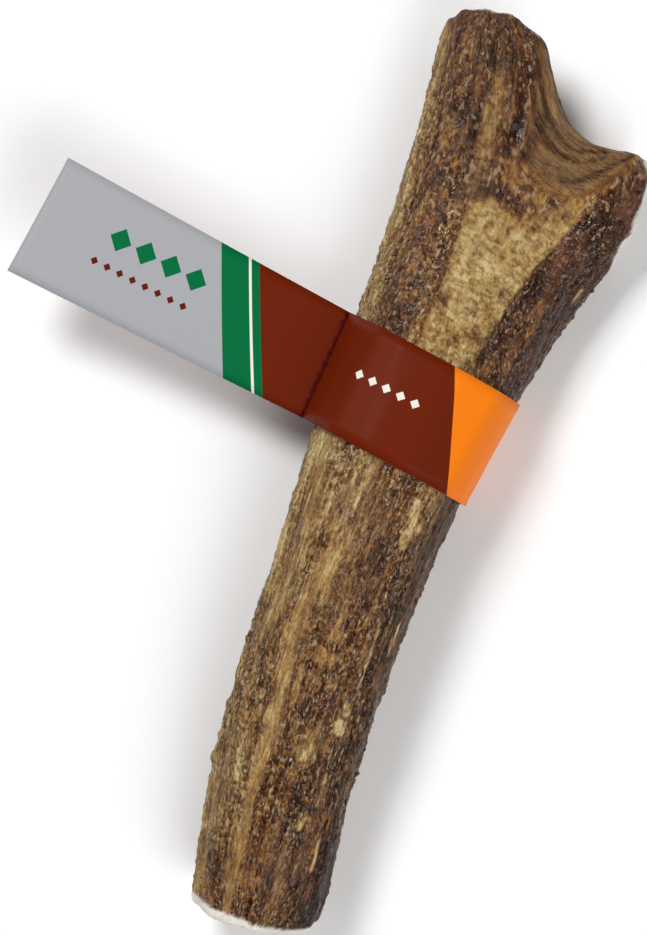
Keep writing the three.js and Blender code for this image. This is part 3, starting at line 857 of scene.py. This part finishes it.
# %% Fine lines, small beads, and rubbed tips that are also painted glints
FINE_LINE_MM = (0.42, 8.0)  # across the grain and along it
FINE_LINE_TONE = 2.3  # what each pattern adds to the stain and to the relief
FINE_LINE_RELIEF = -1.2
TINY_BEAD_MM = (0.85, 1.25)
TINY_BEAD_TONE = 0.22
TINY_BEAD_RELIEF = 1.1
TIP_MM = (0.6, 1.6)  # sparse pale dashes: tips rubbed pale, which also serve as painted glints
TIP_RELIEF = 0.5

fine_lines = add(bark, "Math", {0: grain_noise(*FINE_LINE_MM, 1.0), 1: 0.5}, operation="SUBTRACT")
fine_lines = add(bark, "Math", {0: fine_lines, 1: painted["striped"]}, operation="MULTIPLY")
total = add(bark, "Math", {0: fine_lines, 1: FINE_LINE_TONE, 2: total}, operation="MULTIPLY_ADD")
relief = add(bark, "Math", {0: fine_lines, 1: FINE_LINE_RELIEF, 2: relief}, operation="MULTIPLY_ADD")

beads = grain_noise(*TINY_BEAD_MM, 0.0)
beads = add(bark, "MapRange", {"Value": beads, "From Min": 0.46, "From Max": 0.64})
beads = add(bark, "Math", {0: beads, 1: painted["drift"]}, operation="MULTIPLY")
total = add(bark, "Math", {0: beads, 1: TINY_BEAD_TONE, 2: total}, operation="MULTIPLY_ADD")
relief = add(bark, "Math", {0: beads, 1: TINY_BEAD_RELIEF, 2: relief}, operation="MULTIPLY_ADD")

# Sparse pale dashes: rubbed tips, painted in also as glints.
rubbed_tips_and_glints = add(bark, "MapRange", {"Value": grain_noise(*TIP_MM, 0.5), "From Min": 0.59, "From Max": 0.68})
rubbed_tips_and_glints = add(bark, "Math", {0: rubbed_tips_and_glints, 1: painted["drift"]}, operation="MULTIPLY")
rubbed_tips_and_glints = add(bark, "Math", {0: rubbed_tips_and_glints, 1: painted["fine_relief"]}, operation="MULTIPLY")
relief = add(bark, "Math", {0: rubbed_tips_and_glints, 1: TIP_RELIEF, 2: relief}, operation="MULTIPLY_ADD")
tone = add(bark, "Math", {0: total, 1: painted["contrast"], 2: painted["stain"]}, operation="MULTIPLY_ADD")
print("beads", TINY_BEAD_MM, "mm and tips", TIP_MM, "mm across and along")

# %% Pits in the worn hollow
PIT_MM = (1.2, 1.4)
PIT_TONE = 0.30
PIT_RELIEF = -0.4

pits = add(bark, "MapRange", {"Value": grain_noise(*PIT_MM, 1.5), "From Min": 0.44, "From Max": 0.72})
worn_pits = add(bark, "Math", {0: pits, 1: painted["worn"]}, operation="MULTIPLY")
tone = add(bark, "Math", {0: worn_pits, 1: PIT_TONE, 2: tone}, operation="MULTIPLY_ADD")
relief = add(bark, "Math", {0: worn_pits, 1: PIT_RELIEF, 2: relief}, operation="MULTIPLY_ADD")
print("pits", PIT_MM, "mm")

# %% The bark's colour
WARM_TONES = [0xC6AA74, 0xB08E50, 0x9C7138, 0x815226, 0x633A1E, 0x4C2A16, 0x371A0D, 0x241008]
COOL_TONES = [0xCCBA8E, 0xB09864, 0x917549, 0x735A38, 0x573F27, 0x402B16, 0x2B1B0B, 0x1A1006]
TONE_PLACES = [0.0, 0.15, 0.30, 0.45, 0.60, 0.74, 0.88, 1.0]
# The pale dashes' colour: rubbed bone, and painted glints as well.
RUBBED_TIP_AND_GLINT = 0xBFA384
TIP_AND_GLINT_SHARE = 0.75


def scale_of(tones):
    """The ramp's places and colours, its two ends first, because a new ramp already has two stops."""
    stops = [(place, paint(tone)) for place, tone in zip(TONE_PLACES, tones)]
    return [stops[0], stops[-1], *stops[1:-1]]


warm = add(bark, "ValToRGB", {"Fac": tone}, ramp=scale_of(WARM_TONES))
cool = add(bark, "ValToRGB", {"Fac": tone}, ramp=scale_of(COOL_TONES))
warm_patches = add(bark, "Math", {0: grain_noise(2.0, 4.0, 2.0), 1: 1.6, 2: -0.8}, operation="MULTIPLY_ADD")
warm_share = add(bark, "Math", {0: painted["warmth"], 1: warm_patches}, operation="ADD", use_clamp=True)
bark_colour = add(bark, "Mix", {"Factor": warm_share, "A": cool, "B": warm}, data_type="RGBA", out=2)
# The pale dashes go into the colour: rubbed tips, and painted glints too.
tip_and_glint_cover = add(bark, "Math", {0: rubbed_tips_and_glints, 1: TIP_AND_GLINT_SHARE}, operation="MULTIPLY")
tip_and_glint_mix = {"Factor": tip_and_glint_cover, "A": bark_colour, "B": paint(RUBBED_TIP_AND_GLINT)}
bark_colour = add(bark, "Mix", tip_and_glint_mix, data_type="RGBA", out=2)
print(len(WARM_TONES), "warm tones and", len(COOL_TONES), "cool ones")

# %% [markdown]
# ## Sawn bone
#
# A saw cut shows a ring of dense, ivory white bone round a core of spongy bone. The sawn edges were
# sanded, so they are matt and nearly plain, and the core is tan with dark pores. Both are painted on
# the same skin, because the real bone has no seam between them. The pores are 0.9 mm. Most real ones
# are finer, but they wouldn't show in the picture.

# %% Sawn bone: ivory ring and spongy core
MOTTLE_MM = 1.2
PORE_MM = 0.9
IVORY = [(0.35, paint(0xD6CEC2)), (0.65, paint(0xEEE9E2))]
SPONGY = [(0.1, paint(0xC3AE8E)), (0.9, paint(0x66513C))]

bone_colour = add(bark, "ValToRGB", {"Fac": grain_noise(MOTTLE_MM, MOTTLE_MM, 3.0)}, ramp=IVORY)
pores = grain_noise(PORE_MM, PORE_MM, 2.0)
pores = add(bark, "MapRange", {"Value": pores, "From Min": 0.42, "From Max": 0.60})
spongy = add(bark, "ValToRGB", {"Fac": pores}, ramp=SPONGY)
core_mix = {"Factor": painted["marrow"], "A": bone_colour, "B": spongy}
bone_colour = add(bark, "Mix", core_mix, data_type="RGBA", out=2)
colour_mix = {"Factor": painted["bone"], "A": bark_colour, "B": bone_colour}
colour = add(bark, "Mix", colour_mix, data_type="RGBA", out=2)
print("pores", PORE_MM, "mm")

# %% [markdown]
# ## Gloss and relief
#
# Dark bark is the most handled and the most rubbed, so it is the glossiest, and pale worn bone is matt.
# The same tone that picks the colour therefore sets the roughness. The finest relief goes through a
# bump node, because it is too fine for the mesh, and it fades out on the sawn bone. The specular level
# is below the usual 0.5, because soaked-in stain scatters less white light than a coat of lacquer.

# %% The bark's gloss and relief
MATT, GLOSSY = 0.55, 0.23  # roughness of pale bark and of dark bark
BEAD_GLOSS = -0.11
TIP_GLOSS = -0.08
PORE_RELIEF = -0.7
FINEST_RELIEF = 0.55 * MM
SPECULAR = 0.27

gloss_range = {"Value": tone, "From Min": 0.2, "From Max": 0.62, "To Min": MATT, "To Max": GLOSSY}
gloss = add(bark, "MapRange", gloss_range)
duller = add(bark, "Math", {0: painted["contrast"], 1: -0.5, 2: 0.95}, operation="MULTIPLY_ADD")
duller = add(bark, "Math", {0: painted["fine_relief"], 1: -0.5, 2: duller}, operation="MULTIPLY_ADD")
gloss = add(bark, "Math", {0: gloss, 1: duller}, operation="ADD", use_clamp=True)
gloss = add(bark, "Math", {0: beads, 1: BEAD_GLOSS, 2: gloss}, operation="MULTIPLY_ADD")
gloss = add(bark, "Math", {0: rubbed_tips_and_glints, 1: TIP_GLOSS, 2: gloss}, operation="MULTIPLY_ADD")
relief = add(bark, "Math", {0: relief, 1: painted["fine_relief"]}, operation="MULTIPLY")
open_pores = add(bark, "Math", {0: pores, 1: painted["marrow"]}, operation="MULTIPLY")
relief = add(bark, "Math", {0: open_pores, 1: PORE_RELIEF, 2: relief}, operation="MULTIPLY_ADD")
bumps = add(bark, "Bump", {"Height": relief, "Strength": 1.0, "Distance": FINEST_RELIEF})
surface = add(bark, "BsdfPrincipled", {
    "Base Color": colour, "Roughness": gloss, "Normal": bumps, "Specular IOR Level": SPECULAR,
})
add(bark, "OutputMaterial", {"Surface": surface})
print("the bark material has", len(bark.node_tree.nodes), "nodes")

# %% The antler as one piece
skin.materials.clear()
skin.materials.append(bark)
antler = put_in_scene("antler", skin)
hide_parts("main_beam", "side_tine")
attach(antler, "root")
print("antler:", 2 * len(skin.polygons), "triangles at most")

# %% [markdown]
# ## The card band
#
# The band was cut as one flat strip, printed on one side. It lies along the flag, turns up over the
# antler at a sharp fold, goes right round, comes back to the fold, and lies along the flag again on
# its own back. So it is made the same way: a flat grid, printed by its own UV map, whose points are
# then laid along that path. Card bends but doesn't stretch, so it touches only the highest lumps.

# %% The strip's path
STRIP_TURN = math.radians(-14.4)  # the band's slope against the antler's own cross direction
STRIP_LOW = 115.2  # mm from the sawn base to the strip's lower edge, along the strip's own v
STRIP_WIDTH = 28.8
CARD = 0.45  # mm thick
CLEARANCE = 0.12  # mm of room between the card and the highest lumps
FOLD_OUT = 1.4  # mm from the antler's left side to the fold
FOLD_Z = 20.0
FLAG_END = -132.3  # mm along the strip's own u
ROUND_STEPS = 150  # directions in which the loop is measured
FLAG_CELLS = 44  # cells of the grid along each flag, round the antler and across the strip
WRAP_CELLS = 110
ACROSS_CELLS = 10

strip_u = np.array([math.cos(STRIP_TURN), math.sin(STRIP_TURN)])
strip_v = np.array([-math.sin(STRIP_TURN), math.cos(STRIP_TURN)])
body_u = shaped[:, :2] @ strip_u
body_v = shaped[:, :2] @ strip_v


def tight_loop(low, high):
    """The shortest path round the antler's points with v between low and high, from the fold and back."""
    held = (body_v > low) & (body_v < high)
    u = np.append(body_u[held], body_u[held].min() - FOLD_OUT)
    z = np.append(shaped[held, 2], FOLD_Z)
    room = np.append(np.full(held.sum(), CLEARANCE + CARD / 2), CARD / 2)
    path = []
    for step in range(ROUND_STEPS):
        turn = math.pi - 2 * math.pi * step / ROUND_STEPS
        c, s = math.cos(turn), math.sin(turn)
        far = np.argmax(u * c + z * s + room)
        path.append((u[far] + room[far] * c, z[far] + room[far] * s))
    path = np.array(path + path[:1])
    length = np.append(0, np.cumsum(np.linalg.norm(np.diff(path, axis=0), axis=1)))
    evenly = np.linspace(0, length[-1], WRAP_CELLS + 1)
    points = np.column_stack([np.interp(evenly, length, path[:, 0]), np.interp(evenly, length, path[:, 1])])
    return points, length[-1]


half_v = STRIP_LOW + STRIP_WIDTH / 2
loop_low, round_low = tight_loop(STRIP_LOW - 1, half_v)
loop_high, round_high = tight_loop(half_v, STRIP_LOW + STRIP_WIDTH + 1)
fold_u = (loop_low[0, 0] + loop_high[0, 0]) / 2
flag_length = fold_u - FLAG_END
round_length = (round_low + round_high) / 2
cut_length = 2 * flag_length + round_length
print(f"card strip: flag {flag_length:.1f} mm, round {round_length:.1f} mm, cut length {cut_length:.0f} mm")

# %% A point of the flag
FLAG_END_LOW = 112.5  # mm, like STRIP_LOW, at the flag's free end
FLAG_END_WIDTH = 31.75
FLAG_RISE = 8.0  # mm that the free end stands higher than the fold
FLAG_CURVE = 1.6  # above 1 the flag leaves the fold level and bends up later
FLAG_BOW = 0.7  # mm by which the flag's edges curl up at its free end
BOW_LOWERED = 0.4  # share of the bow that the whole width sinks by
LAYERS_CLOSE = 12  # the layers lie a card's thickness apart from 1/12 of the flag on


def flag_point(share_out, share_across, layer):
    """A point of the flag: share_out from the fold to its end, layer 1 on top and -1 below."""
    s, f = share_out, share_across
    root = loop_low[0] * (1 - f) + loop_high[0] * f
    low = STRIP_LOW + (FLAG_END_LOW - STRIP_LOW) * s
    wide = STRIP_WIDTH + (FLAG_END_WIDTH - STRIP_WIDTH) * s
    bow = FLAG_BOW * s * ((2 * f - 1) ** 2 - BOW_LOWERED)
    z = FOLD_Z + FLAG_RISE * s ** FLAG_CURVE + bow + layer * CARD / 2 * min(1.0, LAYERS_CLOSE * s)
    return root[0] + (FLAG_END - root[0]) * s, low + wide * f, z


print("the flag's free end is at z =", round(flag_point(1, 0.5, 1)[2], 1), "mm")

# %% Laying the flat strip along the path
card = bmesh.new()
cells_long = 2 * FLAG_CELLS + WRAP_CELLS
bmesh.ops.create_grid(card, x_segments=cells_long, y_segments=ACROSS_CELLS, size=0.5)
print_map = card.loops.layers.uv.new("print")
steps = {vert: round((vert.co.x + 0.5) * cells_long) for vert in card.verts}
fold_steps = [0, FLAG_CELLS, FLAG_CELLS + WRAP_CELLS, cells_long]
fold_lengths = np.cumsum([0, flag_length, round_length, flag_length])
run_at = np.interp(range(cells_long + 1), fold_steps, fold_lengths)
for face in card.faces:
    face.smooth = True
    for corner in face.loops:
        corner[print_map].uv = (run_at[steps[corner.vert]], (corner.vert.co.y + 0.5) * STRIP_WIDTH)
for edge in card.edges:
    at = {steps[vert] for vert in edge.verts}
    edge.smooth = at not in ({FLAG_CELLS}, {FLAG_CELLS + WRAP_CELLS})
for vert in card.verts:
    step, f = steps[vert], vert.co.y + 0.5
    if step < FLAG_CELLS:
        u, v, z = flag_point(1 - step / FLAG_CELLS, f, 1)
    elif step > FLAG_CELLS + WRAP_CELLS:
        u, v, z = flag_point((step - FLAG_CELLS - WRAP_CELLS) / FLAG_CELLS, f, -1)
    else:
        u, z = loop_low[step - FLAG_CELLS] * (1 - f) + loop_high[step - FLAG_CELLS] * f
        v = STRIP_LOW + STRIP_WIDTH * f
    vert.co = on_model(u * strip_u[0] + v * strip_v[0], u * strip_u[1] + v * strip_v[1], z)
bmesh.ops.recalc_face_normals(card, faces=card.faces)
card_mesh = bpy.data.meshes.new("card_strip")
card.to_mesh(card_mesh)
card.free()
print(f"card strip: {len(card_mesh.polygons)} faces along {run_at[-1]:.0f} mm")

# %% [markdown]
# ## The print
#
# A sale band is white board with a smooth clay coat, offset printed in solid inks. That gives flat,
# even colours with crisp edges and a faint satin sheen. An image could carry the print, but a print of
# bars and lozenges needs only a little arithmetic on the strip's own UV map, which counts millimetres
# along and across the strip. Slanted bars of grey, green, brown and orange follow one another, and
# three rows of lozenges decorate them. At the fold a dark, wavering line is painted over the ink as
# the shadow in the crease.

# %% Material: printed card, its bars
# Clay-coated board, offset printed: flat solid inks with a soft sheen and hardly any glare.
BARS = [  # mm along the strip's lower edge where each colour begins
    (0, 0xA5A6AA), (58, 0x00693A), (66, 0xE9E4D8), (67, 0x00693A),
    (69, 0x681E04), (131, 0xFA8112), (172, 0x681E04),
]
BAR_SLANT = 0.52  # mm along for each mm across
PRINT_END = 200.0  # mm, past the last bar's start

printed = new_material("clay_coated_board_offset_printed")
place = add(printed, "UVMap", uv_map="print")
run = add(printed, "SeparateXYZ", {"Vector": place}, out=0)
side = add(printed, "SeparateXYZ", {"Vector": place}, out=1)
slanted = add(printed, "Math", {0: side, 1: BAR_SLANT, 2: run}, operation="MULTIPLY_ADD")
bar_share = add(printed, "Math", {0: slanted, 1: PRINT_END}, operation="DIVIDE")
ink = add(printed, "ValToRGB", {"Fac": bar_share}, ramp=[(at / PRINT_END, paint(c)) for at, c in BARS])
ink.node.color_ramp.interpolation = "CONSTANT"
print(len(BARS), "bars")

# %% Printed card: lozenges
LOZENGES = [  # from and to in mm along the strip, height on it, spacing, half width, colour
    (17.5, 45.5, 18, 7, 2.9, 0x00693A),
    (15.75, 43.75, 11, 3.5, 1.0, 0x60190A),
    (94, 114, 16, 4, 1.3, 0xE9E4D8),
]


def lozenge_row(first, last, at, pitch, reach):
    """1 inside a row of small lozenges along the strip, all in mm, and 0 outside."""
    to_middle = add(printed, "Math", {0: run, 1: pitch / 2}, operation="PINGPONG")
    off_line = add(printed, "Math", {0: side, 1: at}, operation="SUBTRACT")
    off_line = add(printed, "Math", {0: off_line}, operation="ABSOLUTE")
    spread = add(printed, "Math", {0: to_middle, 1: off_line}, operation="ADD")
    lozenge = add(printed, "Math", {0: spread, 1: reach}, operation="LESS_THAN")
    middle, half = (first + last) / 2, (last - first) / 2
    in_row = add(printed, "Math", {0: run, 1: middle, 2: half}, operation="COMPARE")
    return add(printed, "Math", {0: lozenge, 1: in_row}, operation="MULTIPLY")


for *row, hex_code in LOZENGES:
    lozenge_mix = {"Factor": lozenge_row(*row), "A": ink, "B": paint(hex_code)}
    ink = add(printed, "Mix", lozenge_mix, data_type="RGBA", out=2)
print(len(LOZENGES), "rows of lozenges")

# %% Printed card: the painted shadow in the crease, and the sheen
# The dark red of the painted shadow in the crease.
FOLD_SHADOW_COLOUR = 0x470508
WAVER_PER_MM = 0.6
WAVER_MM = 2.4  # how far the noise moves the crease's edge
FOLD_SHADOW_FROM, FOLD_SHADOW_TO = 1.5, 2.3  # mm from the fold, with the waver added
SHEEN = 0.45  # roughness
PRINT_SPECULAR = 0.07  # solid ink glares far less than bare coated board

waver = add(printed, "TexNoise", {"Vector": place, "Scale": WAVER_PER_MM, "Detail": 3.0})
from_fold = add(printed, "Math", {0: run, 1: flag_length}, operation="SUBTRACT")
from_fold = add(printed, "Math", {0: from_fold}, operation="ABSOLUTE")
from_fold = add(printed, "Math", {0: waver, 1: WAVER_MM, 2: from_fold}, operation="MULTIPLY_ADD")
# A wavering dark line along the fold: painted shadow in the crease.
fold_shadow = add(printed, "MapRange", {
    "Value": from_fold, "From Min": FOLD_SHADOW_FROM, "From Max": FOLD_SHADOW_TO, "To Min": 1.0, "To Max": 0.0,
})
ink = add(printed, "Mix", {"Factor": fold_shadow, "A": ink, "B": paint(FOLD_SHADOW_COLOUR)}, data_type="RGBA", out=2)
printed_face = add(printed, "BsdfPrincipled", {
    "Base Color": ink, "Roughness": SHEEN, "Specular IOR Level": PRINT_SPECULAR,
})
add(printed, "OutputMaterial", {"Surface": printed_face})
print(f"the crease is {flag_length:.1f} mm from the strip's end")

# %% [markdown]
# ## The bare side of the board
#
# The strip's back and cut edges aren't printed. They are plain paper board, off-white and quite matt,
# with a faint cloudiness where the fibres lie thicker. The card's thickness comes from a Solidify
# modifier, which gives its back and its rim this second material by itself.

# %% Material: uncoated board, and the finished strip
# Pressed paper pulp, left uncoated: matt off-white. Its fibres are 0.02 mm thick, far too fine to show,
# so only their clumps are drawn, at two thirds of a millimetre.
CLUMPS_PER_MM = 1.5
BOARD_ROUGHNESS = 0.8

board = new_material("uncoated_paper_board")
in_metres = add(board, "TexCoord", out=3)
clumps = add(board, "TexNoise", {"Vector": in_metres, "Scale": CLUMPS_PER_MM / MM, "Detail": 3.0})
board_colour = add(board, "ValToRGB", {"Fac": clumps}, ramp=[(0.3, paint(0xD9D6CE)), (0.7, paint(0xEFEDE8))])
board_face = add(board, "BsdfPrincipled", {"Base Color": board_colour, "Roughness": BOARD_ROUGHNESS})
add(board, "OutputMaterial", {"Surface": board_face})

card_mesh.materials.append(printed)
card_mesh.materials.append(board)
strip = put_in_scene("card_strip", card_mesh)
wall = strip.modifiers.new("card_thickness", "SOLIDIFY")
wall.thickness = CARD * MM
wall.offset = 0.0
wall.material_offset = 1
wall.material_offset_rim = 1
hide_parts("card_band")
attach(strip, "root")
print("card strip:", CARD, "mm thick")

# %% [markdown]
# ## Floor and light
#
# The antler was photographed on plain white, lit softly from the upper left, with a weaker light from
# the other side. A sheet of matt white paper is the floor. Two square lamps stand for the soft boxes:
# the smaller, stronger one draws the relief, and the wide one opens the shadows. A white world at low
# strength stands for the light that a pale room gives back.

# %% The floor
# Matt cartridge paper: nearly white, no glare. Its tooth is too fine to show from a metre away.
FLOOR_HALF = 3.0  # metres, so that its edge is never in the picture
PAPER_ROUGHNESS = 0.9
PAPER_SPECULAR = 0.2

ground = bmesh.new()
bmesh.ops.create_grid(ground, x_segments=1, y_segments=1, size=FLOOR_HALF)
floor_mesh = bpy.data.meshes.new("floor")
ground.to_mesh(floor_mesh)
ground.free()
paper = new_material("white_studio_paper")
paper_face = add(paper, "BsdfPrincipled", {
    "Base Color": paint(0xFCFCFC), "Roughness": PAPER_ROUGHNESS, "Specular IOR Level": PAPER_SPECULAR,
})
add(paper, "OutputMaterial", {"Surface": paper_face})
floor_mesh.materials.append(paper)
floor = put_in_scene("floor", floor_mesh)
print("floor", 2 * FLOOR_HALF, "m wide")

# %% The light
ROOM_STRENGTH = 0.20
SOFT_BOXES = [  # name, metres from the antler's middle, metres wide, watts
    ("key", (-0.52, 0.46, 0.93), 0.36, 9.4),
    ("fill", (0.55, -0.55, 0.85), 0.9, 7.6),
]

world = bpy.data.worlds.new("studio")
bpy.context.scene.world = world
world.use_nodes = True
world.node_tree.nodes["Background"].inputs["Color"].default_value = (1, 1, 1, 1)
world.node_tree.nodes["Background"].inputs["Strength"].default_value = ROOM_STRENGTH

middle = on_model(5, 115, 15)
for name, away, size, watts in SOFT_BOXES:
    lamp = put_in_scene(name, bpy.data.lights.new(name, "AREA"))
    lamp.data.shape = "SQUARE"
    lamp.data.size = size
    lamp.data.energy = watts
    lamp.location = middle + Vector(away)
    lamp.rotation_euler = (middle - lamp.location).to_track_quat("-Z", "Y").to_euler()
    print(f"{name} light: {watts} W, {Vector(away).length:.2f} m away")
bpy.context.scene.view_settings.view_transform = "Standard"
